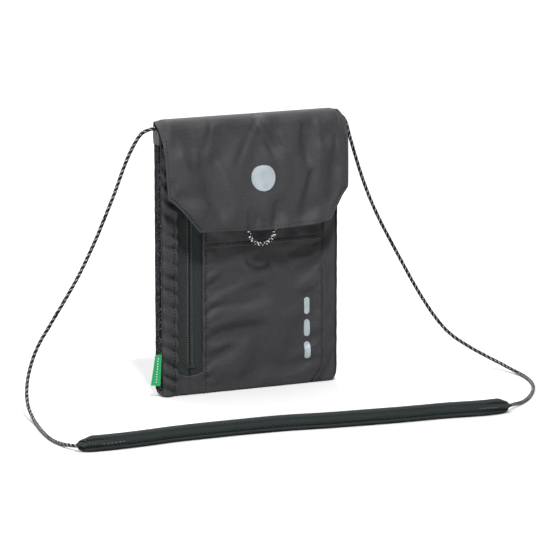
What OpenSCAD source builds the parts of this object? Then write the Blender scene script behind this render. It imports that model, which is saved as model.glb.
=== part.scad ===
// A slim neck pouch wallet standing upright, its neck cord laid in a loop on the floor in front.
// Origin: middle of the base. +Z is up, the front with its flap faces -Y, and +X is to the right.

/* [Pouch] */
// Width of the pouch over its side gussets
pouch_w = 130; // [120:1:150]
// Height of the pouch to the top of the closed flap
pouch_h = 190; // [180:1:210]
// Depth of the pouch from front panel to back panel
pouch_d = 11; // [11:0.5:14]
// Thickness of the outer fabric panels
panel_t = 0.8; // [0.6:0.1:1]
// Rounding of the lower right corner
corner_right_r = 7; // [4:0.5:12]
// Rounding of the lower left corner
corner_left_r = 3; // [2:0.5:6]

/* [Zip] */
// Distance of the zip's centre line from the pouch's centre
zip_x = -44.5; // [-46:0.5:-43]
// Width over both zip tapes
zip_w = 19; // [16:0.5:20]
// Height of the slider's middle when the zip is closed
slider_top_z = 148; // [140:1:150]
// Height of the slider's middle when the zip is fully open
slider_low_z = 27; // [25:1:40]
// Length of the slider
slider_l = 12; // [10:0.5:13]
// Length of the puller below its pin
puller_l = 14; // [10:0.5:14]

/* [Flap] */
// Height of the flap's lower edge above the base
flap_low_z = 114; // [110:1:125]
// Width of the flap's lower edge
flap_low_w = 96; // [80:1:100]
// How far the middle of the lower edge is set to the right
flap_low_x = 5; // [0:0.5:6]
// Width of the flap above its cut corners
flap_w = 132.5; // [130:0.5:136]
// How far the flap's middle is set to the right
flap_x = 1.5; // [0:0.5:2]
// How far the flap's lower edge stands in front of the pouch's middle
flap_low_y = 19; // [18.5:0.5:24]
// Width of the pull loop between the middles of its two ends
loop_w = 19; // [14:1:24]
// How far the pull loop is set to the right
loop_x = 2.7; // [0:0.1:6]

/* [Neck cord] */
// Diameter of the braided neck cord
cord_d = 2.3; // [2:0.1:3]
// Height of the neck sleeve, which stands on its long folded edge
sleeve_h = 10.4; // [9:0.2:10.4]
// Thickness of the neck sleeve
sleeve_t = 6; // [4:0.5:8]

/* [Hidden] */
$fn = 48;

// Clearance between parts that move against each other
gap = 0.3;

// Planes across the pouch's depth, from the front to the back
front_y = -pouch_d / 2;
panel_back_y = front_y + panel_t;
tape_front_y = front_y + 0.2;
coil_t = 1.2;
coil_back_y = panel_back_y + coil_t;
back_plate_t = 0.6;
wall_y = coil_back_y + gap + back_plate_t + gap;
wall_t = 0.7;
back_y = pouch_d / 2;
back_t = 1;
card_t = 0.8;

// Heights
body_top_z = pouch_h - 4;
back_top_z = pouch_h - 2.4;
yoke_low_z = 98;
lap_h = 6;
lap_t = 0.7;
tape_low_z = 14;
base_band_h = 9;
edge_h = 7.5;
card_low_z = 12;
card_high_z = 96;
card_inset = 4;

// Side to side
gusset_t = 1;
inner_w = pouch_w - 2 * gusset_t;
tape_left_x = zip_x - zip_w / 2;
tape_right_x = zip_x + zip_w / 2;
channel_w = 2;
coil_w = 1.6;
right_seam_x = 51;
binding_t = 0.6;
binding_front_y = front_y + 0.8;
binding_back_y = back_y;

// Zip end patch, whose top edge dips in the middle
end_patch_t = 0.4;
end_patch_h = 14.8;
end_patch_dip = 1.6;
end_patch_r = (pow(zip_w / 2, 2) + pow(end_patch_dip, 2)) / (2 * end_patch_dip);

// Stops at both ends of the slider's travel
stop_w = 6;
stop_h = 2;
stop_t = 0.7;

// Band round the mouth
mouth_inset = 3.8;
mouth_t = 0.6;

// Tabs that hold the cord's ends, and the tag in the left seam
tab_low_z = 176;
tab_reach_x = 67;
tab_lap = 5;
tab_leaf_t = 0.6;
tab_back_y = 3;
tag_w = 4.5;
tag_low_z = 10;
tag_high_z = 29;
tag_front_y = -4.2;
tag_back_y = -2.6;

// Slider, puller and pin
slider_w = 9;
plate_t = 1.2;
neck_w = 1.2;
neck_cut = 3;
lug_front = 1.2;
lug_half_h = 1.6;
plate_y = tape_front_y - gap - 0.1 - plate_t;
pin_r = 0.7;
eye_r = 1.7;
eye_bore_r = pin_r + gap;
eye_w = 3.6;
lug_t = 1.2;
pin_y = plate_y - gap - eye_r;
pin_z = slider_top_z + 3;
puller_w = 4.4;
puller_t = 1.2;
puller_shoulder = 3;

// Flap: its mid-surface from the hinge over the top and down the front, as [y, z]
hinge_y = back_y - 0.9;
hinge_z = pouch_h - 0.8;
flap_path = [
    [hinge_y, hinge_z], [-5.6, hinge_z], [-7.2, hinge_z - 0.7],
    [-8.4, hinge_z - 2.2], [-9.3, hinge_z - 5.2], [-flap_low_y, flap_low_z]
];
flap_outer_t = 0.8;
flap_lining_t = 0.6;
flap_lining_margin = 1.5;
flap_fold_w = 128;
flap_side_z = 137;
flap_corner_w = 3;
flap_corner_h = 6;
patch_t = 0.7;
patch_w = 24;
patch_h = 16;
loop_patch_z = 120;
hook_patch_up = 7;
loop_r = cord_d / 2;
loop_drop = 0.4;
loop_pivot_z = flap_low_z - gap - loop_r - loop_drop;
loop_y = -flap_low_y + 0.1;

// Neck cord route, from the left tab to the right tab through the sleeve, as [x, y, z]
floor_z = cord_d / 2 + 0.2;
cord_left = [
    [-67, 0, 183], [-71, 0, 182.8], [-77, 0, 180], [-83, 0, 171.5], [-88.5, 0, 160.5],
    [-96, 0, 142], [-104, 0, 124], [-112, 0, 107], [-122.5, 0, 87.5], [-133, 0, 71],
    [-143, 0, 56], [-152.5, -1, 42], [-159, -4, 29], [-164, -11, 18], [-167.5, -22, 9],
    [-169, -34, 3.8], [-170.5, -47, floor_z], [-173.5, -64, floor_z], [-175.5, -81, floor_z],
    [-175.5, -95, floor_z], [-173.5, -108, 2.2], [-169, -119, 3.6]
];
sleeve_route = [
    [-164, -122.5, 4.6], [-150, -124, 5.3], [-124, -122.5, 5.3], [-104, -121, 5.3],
    [-84, -120.5, 5.3], [-57, -121, 5.3], [-30, -122.5, 5.3], [7, -128, 5.3],
    [43, -132, 5.3], [81, -134.5, 5.3], [111, -138, 5.3], [124, -137.5, 4.6]
];
cord_right = [
    [131, -134.5, 3.8], [139, -127.5, 2.6], [148, -120.5, floor_z], [157.5, -111.5, floor_z],
    [167, -99, floor_z], [174.5, -87, floor_z], [180, -75, floor_z], [184, -61, floor_z],
    [185.5, -48, 1.6], [183.5, -34, 3.3], [180.5, -25, 5.3], [175, -16.5, 8.7],
    [165, -8.5, 15], [153.5, -3, 23.7], [144, -0.5, 34.5], [134.5, 0, 48], [124.5, 0, 64],
    [108, 0, 93], [99, 0, 109.5], [91, 0, 126.5], [85, 0, 142], [80, 0, 157],
    [76, 0, 170], [73.5, 0, 178.5], [70.5, 0, 182.6], [67, 0, 183]
];
cord_route = concat(cord_left, sleeve_route, cord_right);

// ---- Helpers ----

// A box from one corner to the opposite one
module block(low, high) {
    translate(low) cube(high - low);
}

// A flat shape drawn in X and Z, given a thickness from y0 to y1
module upright(y0, y1) {
    translate([0, y1, 0]) rotate([90, 0, 0]) linear_extrude(y1 - y0) children();
}

// The pouch's front outline inside a margin, open at the top
module outline(margin = 0, top = body_top_z) {
    x = pouch_w / 2 - margin;
    left_r = corner_left_r - min(margin, corner_left_r - 1);
    right_r = corner_right_r - margin;
    union() {
        translate([-x, margin + right_r]) square([2 * x, top - margin - right_r]);
        translate([-x + left_r, margin]) square([2 * x - left_r - right_r, top - margin]);
        translate([-x, margin + left_r]) square([2 * left_r, right_r]);
        translate([-x + left_r, margin + left_r]) circle(left_r);
        translate([x - right_r, margin + right_r]) circle(right_r);
    }
}

// A fabric panel between two side edges and two heights, cut to the pouch's outline
module panel(x0, x1, z0, z1, y0, y1) {
    upright(y0, y1) intersection() {
        outline(gusset_t, max(z1, body_top_z));
        translate([x0, z0]) square([x1 - x0, z1 - z0]);
    }
}

// The gusset's ring between two heights, on the sides picked by x0 and x1
module gusset(x0, x1, z0, z1) {
    upright(front_y, back_y) intersection() {
        difference() {
            outline(0);
            outline(gusset_t, body_top_z + 1);
        }
        translate([x0, z0]) square([x1 - x0, z1 - z0]);
    }
}

// Unit direction from a to b
function along(a, b) = (b - a) / norm(b - a);

// Direction of a route at its point i
function heading(route, i) =
    let (last = len(route) - 1)
    i == 0 ? along(route[0], route[1])
    : i == last ? along(route[last - 1], route[last])
    : along(route[i - 1], route[i + 1]);

// The two cross directions of a section that stays level: sideways and upward
function side_dir(t) =
    let (s = cross(t, abs(t.z) > 0.9 ? [0, -1, 0] : [0, 0, 1])) s / norm(s);

// A Catmull-Rom point between b and c
function spline(a, b, c, d, u) =
    0.5 * (2 * b + (c - a) * u + (2 * a - 5 * b + 4 * c - d) * pow(u, 2)
    + (3 * b - a - 3 * c + d) * pow(u, 3));

// A route with a smooth point halfway along each of its spans
function smooth(route) =
    let (last = len(route) - 1)
    [for (i = [0 : last - 1], u = [0, 0.5])
        spline(route[max(i - 1, 0)], route[i], route[i + 1],
            route[min(i + 2, last)], u),
     route[last]];

// A closed tube through a route, with an oval section of half width a and half height b
module sweep(route, a, b, sides, keep_up = false) {
    count = len(route);
    points = [for (i = [0 : count - 1])
        let (t = heading(route, i), s = side_dir(t), up = keep_up ? [0, 0, 1] : cross(s, t))
        for (k = [0 : sides - 1])
            let (w = 360 * (k + 0.5) / sides)
            route[i] + s * a * cos(w) + up * b * sin(w)];
    walls = [for (i = [0 : count - 2], k = [0 : sides - 1])
        let (n = (k + 1) % sides)
        [i * sides + k, (i + 1) * sides + k, (i + 1) * sides + n, i * sides + n]];
    start = [for (k = [0 : sides - 1]) k];
    end = [for (k = [sides - 1 : -1 : 0]) (count - 1) * sides + k];
    polyhedron(points, concat([start], walls, [end]));
}

// Sideways direction of a flat [y, z] path at point i
function normal2(path, i) =
    let (last = len(path) - 1,
        a = i == 0 ? path[0] : path[i - 1],
        b = i == last ? path[last] : path[i + 1],
        t = (b - a) / norm(b - a))
    [t.y, -t.x];

// A strip that follows a flat path between two offsets from it
module strip(path, t0, t1) {
    polygon(concat(
        [for (i = [0 : len(path) - 1]) path[i] + normal2(path, i) * t0],
        [for (i = [len(path) - 1 : -1 : 0]) path[i] + normal2(path, i) * t1]
    ));
}

// The strip across the whole width, cut to the flap's front outline
module flap_sheet(t0, t1, margin = 0) {
    intersection() {
        rotate([90, 0, 90]) translate([0, 0, -flap_w]) linear_extrude(2 * flap_w)
            strip(flap_path, t0, t1);
        upright(-2 * flap_low_y, flap_low_y) flap_outline(margin);
    }
}

// The flap's front outline: straight sides, cut lower corners and an eased upper right corner
module flap_outline(margin) {
    side = flap_w / 2 - margin;
    low = flap_low_w / 2 - margin * 0.6;
    right = flap_x + side;
    polygon([
        [flap_x - side, pouch_h], [flap_x - side, flap_side_z],
        [flap_low_x - low, flap_low_z + margin], [flap_low_x + low, flap_low_z + margin],
        [right, flap_side_z], [right, pouch_h - flap_corner_h], [right - flap_corner_w, pouch_h]
    ]);
}

// Half of the zip's tape and coil, on the side given by -1 or 1
module zip_tape(side) {
    inner = zip_x + side * channel_w / 2;
    outer = side < 0 ? tape_left_x : tape_right_x;
    panel(min(inner, outer), max(inner, outer), tape_low_z, body_top_z - edge_h,
        tape_front_y, panel_back_y);
}

module zip_coil(side) {
    near = zip_x + side * channel_w / 2;
    far = near + side * coil_w;
    block([min(near, far), panel_back_y, slider_low_z - slider_l],
        [max(near, far), coil_back_y, slider_top_z + slider_l]);
}

module zip_stop(z) {
    block([zip_x - stop_w / 2, tape_front_y - stop_t, z], [zip_x + stop_w / 2, tape_front_y, z + stop_h]);
}

// A binding along one side gusset
module edge_binding(side) {
    x0 = pouch_w / 2;
    mirror([side < 0 ? 1 : 0, 0, 0])
        block([x0, binding_front_y, base_band_h], [x0 + binding_t, binding_back_y, body_top_z]);
}

// The tab that holds the cord's end, folded round the pouch's top corner
module cord_tab(side) {
    x0 = pouch_w / 2 + binding_t;
    mirror([side < 0 ? 1 : 0, 0, 0]) {
        block([x0, front_y, tab_low_z], [tab_reach_x, tab_back_y, body_top_z]);
        block([x0 - tab_lap, front_y - tab_leaf_t, tab_low_z], [tab_reach_x, front_y, body_top_z]);
    }
}

// ---- Pouch body ----

module back_panel() {
    color("#2f2f31") panel(-inner_w / 2, inner_w / 2, gusset_t, back_top_z, back_y - back_t, back_y);
}

// Slip pocket for cards, sewn to the inside of the back panel
module card_sleeve() {
    color("#5a5d60") panel(-inner_w / 2 + card_inset, inner_w / 2 - card_inset,
        card_low_z, card_high_z, back_y - back_t - card_t, back_y - back_t);
}

// Wall between the main compartment and the zip pocket
module compartment_wall() {
    color("#5a5d60") panel(-inner_w / 2, inner_w / 2, gusset_t, body_top_z, wall_y, wall_y + wall_t);
}

module side_gusset_left() {
    color("#2b2a2d") gusset(-pouch_w, 0, base_band_h, body_top_z);
}

module side_gusset_right() {
    color("#2b2a2d") gusset(0, pouch_w, base_band_h, body_top_z);
}

module base_gusset() {
    color("#2b2a2d") gusset(-pouch_w, pouch_w, -1, base_band_h);
}

module front_left_strip() {
    color("#48484a") panel(-inner_w / 2, tape_left_x, gusset_t, body_top_z, front_y, panel_back_y);
}

module front_pocket_panel() {
    color("#48484a") panel(tape_right_x, right_seam_x, gusset_t, yoke_low_z + lap_h,
        front_y, panel_back_y);
}

// Upper front band: it butts on the pocket panel behind and laps over it in front
module front_yoke() {
    color("#48484a") {
        panel(tape_right_x, right_seam_x, yoke_low_z + lap_h, body_top_z, front_y, panel_back_y);
        panel(tape_right_x, right_seam_x, yoke_low_z, body_top_z, front_y - lap_t, front_y);
    }
}

module front_right_strip() {
    color("#48484a") panel(right_seam_x, inner_w / 2, gusset_t, body_top_z, front_y, panel_back_y);
}

module zip_tape_left() {
    color("#38443f") zip_tape(-1);
}

module zip_tape_right() {
    color("#38443f") zip_tape(1);
}

module zip_coil_left() {
    color("#202322") zip_coil(-1);
}

module zip_coil_right() {
    color("#202322") zip_coil(1);
}

module zip_top_stop() {
    color("#1c1c1d") zip_stop(slider_top_z + slider_l / 2 + gap);
}

module zip_bottom_stop() {
    color("#1c1c1d") zip_stop(slider_low_z - slider_l / 2 - gap - stop_h);
}

// Fabric patch over the zip's lower end
module zip_end_patch() {
    low_z = gusset_t + 1;
    color("#454547") {
        upright(tape_front_y - end_patch_t, tape_front_y) difference() {
            translate([tape_left_x, low_z]) square([zip_w, end_patch_h - low_z]);
            translate([zip_x, end_patch_h - end_patch_dip + end_patch_r]) circle(end_patch_r);
        }
        block([tape_left_x, tape_front_y, low_z], [tape_right_x, panel_back_y, tape_low_z]);
    }
}

module edge_binding_left() {
    color("#1f1c22") edge_binding(-1);
}

module edge_binding_right() {
    color("#1f1c22") edge_binding(1);
}

// Folded band that closes the zip pocket along the mouth of the main compartment
module mouth_binding() {
    x = inner_w / 2 - mouth_inset;
    outer_y = front_y - lap_t - mouth_t;
    inner_y = wall_y + wall_t + mouth_t;
    color("#242426") difference() {
        block([-x, outer_y, body_top_z - edge_h + 0.5], [x, inner_y, body_top_z + mouth_t]);
        block([-x - 1, front_y - lap_t, 0], [x + 1, wall_y + wall_t, body_top_z]);
    }
}

// Loop half of the flap's touch fastener
module loop_patch() {
    color("#1b1b1c") translate([loop_x, 0, 0])
        block([-patch_w / 2, front_y - lap_t - patch_t, loop_patch_z],
            [patch_w / 2, front_y - lap_t, loop_patch_z + patch_h]);
}

module cord_tab_left() {
    color("#6e6a70") cord_tab(-1);
}

module cord_tab_right() {
    color("#6e6a70") cord_tab(1);
}

// Folded woven tag caught in the left side seam
module side_tag() {
    edge_x = pouch_w / 2 + binding_t;
    color("#2e9e5b") block([-edge_x - tag_w, tag_front_y, tag_low_z], [-edge_x, tag_back_y, tag_high_z]);
}

// ---- Neck cord ----

module neck_cord() {
    color("#1d1d1f") sweep(smooth(cord_route), cord_d / 2, cord_d / 2, 8);
}

// Flat woven sleeve around the cord where it passes behind the neck
module neck_sleeve() {
    color("#26302f") sweep(smooth(sleeve_route), sleeve_t / 2, sleeve_h / 2, 12, true);
}

// ---- Flap ----

module flap_outer() {
    color("#48484a") {
        flap_sheet(0, flap_outer_t);
        translate([-flap_fold_w / 2, hinge_y, hinge_z]) rotate([0, 90, 0])
            intersection() {
                cylinder(r = flap_outer_t, h = flap_fold_w);
                translate([-2, 0, 0]) cube([2, 2, flap_fold_w]);
            }
    }
}

module flap_lining() {
    color("#333335") flap_sheet(-flap_lining_t, 0, flap_lining_margin);
}

// Hook half of the flap's touch fastener, flat on the lining
module hook_patch() {
    low = flap_path[len(flap_path) - 1];
    high = flap_path[len(flap_path) - 2];
    lean = atan2(high.x - low.x, high.y - low.y);
    color("#1b1b1c") translate([loop_x, low.x, low.y]) rotate([-lean, 0, 0])
        block([-patch_w / 2, flap_lining_t, hook_patch_up],
            [patch_w / 2, flap_lining_t + patch_t, hook_patch_up + patch_h]);
}

// Cord loop that hangs from the flap's lower edge
module flap_pull_loop() {
    bend_r = loop_w / 2;
    color("#1d1d1f") translate([loop_x, loop_y, loop_pivot_z]) {
        rotate([90, 0, 0]) rotate_extrude(angle = -180) translate([bend_r, 0]) circle(loop_r);
        for (x = [-bend_r, bend_r]) translate([x, 0, 0]) sphere(loop_r);
    }
}

// ---- Zip slider and puller ----

// Front and back plates joined by a neck between the tapes, with lugs and a pin for the puller
module zip_slider() {
    low_z = slider_top_z - slider_l / 2;
    high_z = slider_top_z + slider_l / 2;
    inner_x = eye_w / 2 + gap;
    color("#3a3a3c") {
        block([zip_x - slider_w / 2, plate_y, low_z], [zip_x + slider_w / 2, plate_y + plate_t, high_z]);
        block([zip_x - slider_w / 2, coil_back_y + gap, low_z],
            [zip_x + slider_w / 2, coil_back_y + gap + back_plate_t, high_z]);
        block([zip_x - neck_w / 2, plate_y + plate_t, low_z + neck_cut],
            [zip_x + neck_w / 2, coil_back_y + gap, high_z]);
        for (side = [-1, 1]) translate([zip_x + side * (inner_x + lug_t / 2), 0, 0])
            block([-lug_t / 2, pin_y - lug_front, pin_z - lug_half_h],
                [lug_t / 2, plate_y, pin_z + lug_half_h]);
        translate([zip_x - inner_x - lug_t / 2, pin_y, pin_z]) rotate([0, 90, 0])
            cylinder(r = pin_r, h = 2 * inner_x + lug_t);
    }
}

// Tab with an eye that turns on the slider's pin
module zip_puller() {
    color("#3a3a3c") difference() {
        union() {
            translate([zip_x - eye_w / 2, pin_y, pin_z]) rotate([0, 90, 0]) cylinder(r = eye_r, h = eye_w);
            block([zip_x - eye_w / 2, pin_y - puller_t / 2, pin_z - 4],
                [zip_x + eye_w / 2, pin_y + puller_t / 2, pin_z]);
            block([zip_x - puller_w / 2, pin_y - puller_t / 2, pin_z - puller_l],
                [zip_x + puller_w / 2, pin_y + puller_t / 2, pin_z - puller_shoulder]);
        }
        translate([zip_x - eye_w, pin_y, pin_z]) rotate([0, 90, 0])
            cylinder(r = eye_bore_r, h = 2 * eye_w);
    }
}

back_panel();
card_sleeve();
compartment_wall();
side_gusset_left();
side_gusset_right();
base_gusset();
front_left_strip();
front_pocket_panel();
front_yoke();
front_right_strip();
zip_tape_left();
zip_tape_right();
zip_coil_left();
zip_coil_right();
zip_top_stop();
zip_bottom_stop();
zip_end_patch();
edge_binding_left();
edge_binding_right();
mouth_binding();
loop_patch();
cord_tab_left();
cord_tab_right();
side_tag();
neck_cord();
neck_sleeve();
flap_outer();
flap_lining();
hook_patch();
flap_pull_loop();
zip_slider();
zip_puller();
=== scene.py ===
"""A slim neck pouch wallet standing upright, its neck cord laid in a loop on the floor in front.

Lengths are in millimetres, in the row frame, until a mesh is made: +Z up, the front faces -Y.
"""
import math

import bpy
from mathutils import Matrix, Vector, noise


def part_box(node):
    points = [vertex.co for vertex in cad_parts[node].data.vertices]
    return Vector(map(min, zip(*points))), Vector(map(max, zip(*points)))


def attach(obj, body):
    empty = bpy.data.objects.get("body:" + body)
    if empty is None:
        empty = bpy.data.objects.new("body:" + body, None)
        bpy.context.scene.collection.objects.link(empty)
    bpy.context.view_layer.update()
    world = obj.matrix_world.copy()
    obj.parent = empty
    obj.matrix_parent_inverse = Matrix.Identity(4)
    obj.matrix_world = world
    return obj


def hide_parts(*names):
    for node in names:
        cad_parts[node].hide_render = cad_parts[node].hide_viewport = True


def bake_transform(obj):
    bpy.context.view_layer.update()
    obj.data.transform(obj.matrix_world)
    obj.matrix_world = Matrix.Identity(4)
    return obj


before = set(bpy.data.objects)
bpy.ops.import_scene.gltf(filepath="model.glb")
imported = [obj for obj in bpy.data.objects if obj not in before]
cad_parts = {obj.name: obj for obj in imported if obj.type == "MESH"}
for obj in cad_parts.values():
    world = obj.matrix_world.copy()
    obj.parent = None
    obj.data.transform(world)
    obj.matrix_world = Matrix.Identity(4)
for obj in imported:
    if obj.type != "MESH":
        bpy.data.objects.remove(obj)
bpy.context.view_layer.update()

MM = 0.001
FORWARD = Vector((0, -1, 0))
BACKWARD = Vector((0, 1, 0))


def cad(node):
    """Lowest and highest corner of a CAD node, in millimetres."""
    low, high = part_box(node)
    return low / MM, high / MM


# ---- Sizes, read from the frame ----

BACK_TOP = cad("back_panel")[1].z
GUSSET_LOW, GUSSET_HIGH = cad("side_gusset_right")
HALF_W = GUSSET_HIGH.x
FRONT_Y = -GUSSET_LOW.y
BACK_Y = GUSSET_HIGH.y
BODY_TOP = GUSSET_HIGH.z
TAPE_LEFT = cad("zip_tape_left")[0].x
TAPE_RIGHT = cad("zip_tape_right")[1].x
ZIP_X = (TAPE_LEFT + TAPE_RIGHT) / 2
ZIP_LOW = cad("zip_tape_left")[0].z
LAP_Z = cad("front_yoke")[0].z + 2.5
RIGHT_SEAM = cad("front_yoke")[1].x
STITCH_LEFT = TAPE_LEFT - 1.9
STITCH_RIGHT = TAPE_RIGHT + 1.7
STITCH_LAP = LAP_Z + 2.6
FLAP_LOW, FLAP_HIGH = cad("flap_outer")
LOOP_LOW, LOOP_HIGH = cad("flap_pull_loop")
LOOP_X = (LOOP_LOW.x + LOOP_HIGH.x) / 2
# The flap's end edge slopes down from the back corner to the front: (y, z)
END_SLOPE = [(-10.5, 170.5), (-7.0, 176.8), (-3.0, 182.2), (1.0, 185.3), (4.2, 187.3)]
CORNER_RIGHT = 7.0
CORNER_LEFT = 3.0
CORD_D = 2.6
SLEEVE_H = 10.4
SLEEVE_T = 6.0
SLEEVE_PITCH = 1.6

# Neck cord route from the left tab to the right tab, through the sleeve
CORD_LEFT = [
    (-67, 0, 183), (-71, 0, 182.8), (-77, 0, 180), (-83, 0, 171.5), (-88.5, 0, 160.5),
    (-96, 0, 142), (-104, 0, 124), (-112, 0, 107), (-122.5, 0, 87.5), (-133, 0, 71),
    (-143, 0, 56), (-152.5, -1, 42), (-159, -4, 29), (-164, -11, 18), (-167.5, -22, 9),
    (-169, -34, 3.8), (-170.5, -47, 1.35), (-173.5, -64, 1.35), (-175.5, -81, 1.35),
    (-175.5, -95, 1.35), (-173.5, -108, 2.2), (-169, -119, 3.6),
]
SLEEVE_ROUTE = [
    (-164, -122.5, 4.6), (-150, -124, 5.3), (-124, -122.5, 5.3), (-104, -121, 5.3),
    (-84, -120.5, 5.3), (-57, -121, 5.3), (-30, -122.5, 5.3), (7, -128, 5.3),
    (43, -132, 5.3), (81, -134.5, 5.3), (111, -138, 5.3), (124, -137.5, 4.6),
]
CORD_RIGHT = [
    (131, -134.5, 3.8), (139, -127.5, 2.6), (148, -120.5, 1.35), (157.5, -111.5, 1.35),
    (167, -99, 1.35), (174.5, -87, 1.35), (180, -75, 1.35), (184, -61, 1.35),
    (185.5, -48, 1.6), (183.5, -34, 3.3), (180.5, -25, 5.3), (175, -16.5, 8.7),
    (165, -8.5, 15), (153.5, -3, 23.7), (144, -0.5, 34.5), (134.5, 0, 48), (124.5, 0, 64),
    (108, 0, 93), (99, 0, 109.5), (91, 0, 126.5), (85, 0, 142), (80, 0, 157),
    (76, 0, 170), (73.5, 0, 178.5), (70.5, 0, 182.6), (67, 0, 183),
]
CORD_ROUTE = CORD_LEFT + SLEEVE_ROUTE + CORD_RIGHT


# ---- Camera ----

AZIMUTH = math.radians(-24)
ELEVATION = math.radians(11.7)
CAMERA_DISTANCE = 2500
CAMERA_LENS = 242
AIM = Vector((-2.24, -59.87, 86.18))


def make_camera():
    back = Vector((
        math.sin(AZIMUTH) * math.cos(ELEVATION),
        -math.cos(AZIMUTH) * math.cos(ELEVATION),
        math.sin(ELEVATION),
    ))
    data = bpy.data.cameras.new("camera")
    data.lens = CAMERA_LENS
    data.sensor_width = 36
    data.clip_start = 0.05
    camera = bpy.data.objects.new("camera", data)
    camera.location = (AIM + back * CAMERA_DISTANCE) * MM
    camera.rotation_euler = back.to_track_quat("Z", "Y").to_euler()
    bpy.context.collection.objects.link(camera)
    bpy.context.scene.camera = camera


make_camera()
bpy.context.scene.view_settings.view_transform = "Standard"


# ---- Materials ----

class Nodes:
    """A short way to write one material's node tree."""

    def __init__(self, name):
        self.material = bpy.data.materials.new(name)
        self.material.use_nodes = True
        self.tree = self.material.node_tree
        self.shader = self.tree.nodes["Principled BSDF"]
        coord = self.tree.nodes.new("ShaderNodeTexCoord")
        self.place = coord.outputs["Object"]

    def node(self, kind, inputs=(), **settings):
        made = self.tree.nodes.new("ShaderNode" + kind)
        for key, value in settings.items():
            setattr(made, key, value)
        for key, value in dict(inputs).items():
            self.put(value, made.inputs[key])
        return made

    def put(self, value, socket):
        if isinstance(value, bpy.types.NodeSocket):
            self.tree.links.new(value, socket)
        else:
            socket.default_value = value

    def math(self, operation, a, b=0.0, c=0.0):
        made = self.node("Math", {0: a, 1: b, 2: c}, operation=operation)
        return made.outputs[0]

    def axes(self):
        split = self.node("SeparateXYZ", {0: self.place})
        return split.outputs[0], split.outputs[1], split.outputs[2]

    def wave(self, value, pitch_mm):
        """A sine from 0 to 1 along a length in metres."""
        turned = self.math("MULTIPLY", value, 2 * math.pi / (pitch_mm * MM))
        return self.math("MULTIPLY_ADD", self.math("SINE", turned), 0.5, 0.5)

    def noise(self, scale_per_m, detail=3.0, stretch=(1, 1, 1)):
        mapped = self.node("Mapping", {"Vector": self.place, "Scale": stretch})
        made = self.node("TexNoise", {"Vector": mapped.outputs[0],
                                      "Scale": scale_per_m, "Detail": detail})
        return made.outputs["Fac"]

    def mix(self, factor, a, b):
        made = self.node("Mix", data_type="RGBA")
        self.put(factor, made.inputs[0])
        self.put(a, made.inputs[6])
        self.put(b, made.inputs[7])
        return made.outputs[2]

    def ramp(self, value, low, high):
        made = self.node("MapRange", {0: value, 1: low, 2: high, 3: 0.0, 4: 1.0})
        return made.outputs[0]

    def finish(self, color, roughness, bump=None, distance_mm=0.1, strength=0.5, **sockets):
        """The roughness is a number, or a value with its gain and its base."""
        if isinstance(roughness, tuple):
            roughness = self.math("MULTIPLY_ADD", *roughness)
        self.put(color, self.shader.inputs["Base Color"])
        self.put(roughness, self.shader.inputs["Roughness"])
        if bump is not None:
            made = self.node("Bump", {"Height": bump, "Distance": distance_mm * MM,
                                      "Strength": strength})
            self.put(made.outputs[0], self.shader.inputs["Normal"])
        for key, value in sockets.items():
            self.shader.inputs[key.replace("_", " ")].default_value = value
        return self.material


def grey(level, tint=(1.0, 1.0, 1.0)):
    return (level * tint[0], level * tint[1], level * tint[2], 1.0)


def plain_weave(n, pitch_mm):
    """Height of a plain weave that runs round all upright faces."""
    x, y, z = n.axes()
    across = n.wave(n.math("ADD", x, y), pitch_mm)
    up = n.wave(z, pitch_mm)
    return n.math("ADD", n.math("MULTIPLY", across, up),
                  n.math("MULTIPLY", n.math("SUBTRACT", 1.0, across), n.math("SUBTRACT", 1.0, up)))


def shell_material(name, level, tint, weave_mm=0.5, roughness=0.5):
    """Coated nylon: fine weave with uneven threads both ways, faint cloudiness and a soft gloss."""
    n = Nodes(name)
    cloud = n.noise(38, 4.0)
    grain = n.noise(2600, 2.0)
    weft = n.noise(1000, 2.0, (0.14, 0.14, 1.5))
    warp = n.noise(1000, 2.0, (1.5, 1.5, 0.14))
    threads = n.math("MULTIPLY", n.math("ADD", weft, warp), 0.5)
    weave = plain_weave(n, weave_mm)
    base = n.mix(n.ramp(cloud, 0.3, 0.72), grey(level * 0.9, tint), grey(level * 1.1, tint))
    slub = n.mix(n.ramp(threads, 0.38, 0.64), base, grey(level * 1.5, tint))
    speck = n.mix(n.ramp(grain, 0.4, 0.8), slub, grey(level * 1.5, tint))
    # Paler on the weave's raised crossings, following the weave's height
    weave_tops_paler = n.mix(n.math("MULTIPLY", weave, 0.2), speck, grey(level * 2.0, tint))
    height = n.math("ADD", n.math("ADD", weave, n.math("MULTIPLY", grain, 0.5)),
                    n.math("MULTIPLY", threads, 2.0))
    return n.finish(weave_tops_paler, (cloud, 0.16, roughness - 0.08), height, 0.09, 0.7,
                    Specular_IOR_Level=0.13, Sheen_Weight=0.02, Sheen_Roughness=0.4)


def twill_material(name, low, high, tint, pitch_mm):
    """Twill tape: slanting ribs with fine flecks."""
    n = Nodes(name)
    x, y, z = n.axes()
    across = n.math("ADD", x, y)
    ribs = n.wave(n.math("ADD", across, n.math("MULTIPLY", z, 0.8)), pitch_mm)
    steps = n.wave(n.math("SUBTRACT", z, across), pitch_mm * 0.8)
    fleck = n.noise(1800, 2.0)
    height = n.math("MULTIPLY", ribs, n.math("MULTIPLY_ADD", steps, 0.5, 0.5))
    tone = n.math("ADD", n.math("MULTIPLY", height, 0.7), n.math("MULTIPLY", fleck, 0.45))
    color = n.mix(n.ramp(tone, 0.25, 0.85), grey(low, tint), grey(high, tint))
    return n.finish(color, (fleck, 0.15, 0.72), height, 0.14, 0.7,
                    Specular_IOR_Level=0.1, Sheen_Weight=0.02)


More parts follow.
